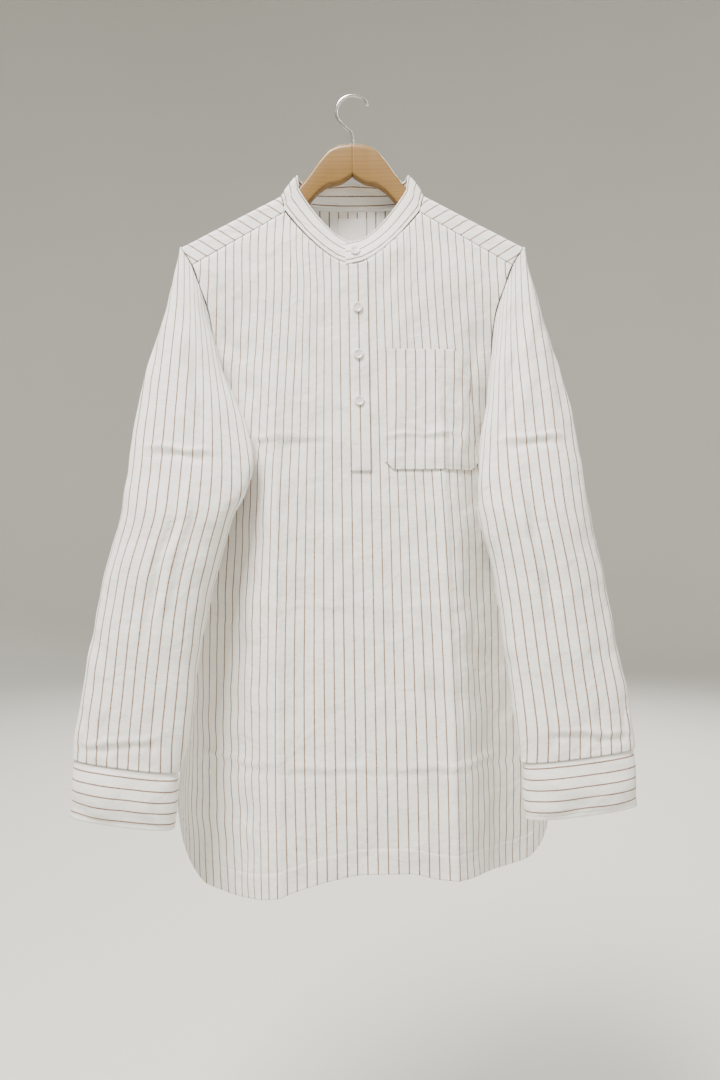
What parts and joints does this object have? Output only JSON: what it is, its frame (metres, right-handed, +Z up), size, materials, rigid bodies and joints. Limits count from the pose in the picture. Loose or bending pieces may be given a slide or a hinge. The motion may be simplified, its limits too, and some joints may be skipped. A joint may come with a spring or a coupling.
{
  "type": "kurta tunic on a wooden hanger",
  "caption": "Long-sleeved striped kurta tunic with a stand collar and half placket, hung on a two-part wooden hanger with a wire hook.",
  "frame": {"origin": "the inner top of the hook, where the hanger hangs on its nail or rail", "axes": "+Z up, -Y is the garment's front, +X is to the right as seen from the front"},
  "size_m": [0.6074, 0.167, 0.9315],
  "materials": {
    "cloth": "plain-woven off-white cotton with thin brown pinstripes",
    "label": "plain woven label, bare",
    "button": "off-white four-hole shirt button",
    "wood": "clear-varnished honey-brown wood",
    "wire": "chromed steel wire"
  },
  "bodies": {
    "root": {"front": "cloth", "back": "cloth", "yoke": "cloth", "collar_band": "cloth", "placket_upper": "cloth", "placket_under": "cloth", "pocket": "cloth", "sleeve_left": "cloth", "sleeve_right": "cloth", "cuff_left": "cloth", "cuff_right": "cloth", "label": "label", "button_collar": "button", "button_placket_1": "button", "button_placket_2": "button", "button_placket_3": "button", "button_cuff_left": "button", "button_cuff_right": "button", "hanger_left": "wood", "hanger_right": "wood", "hook": "wire"}
  },
  "joints": []
}
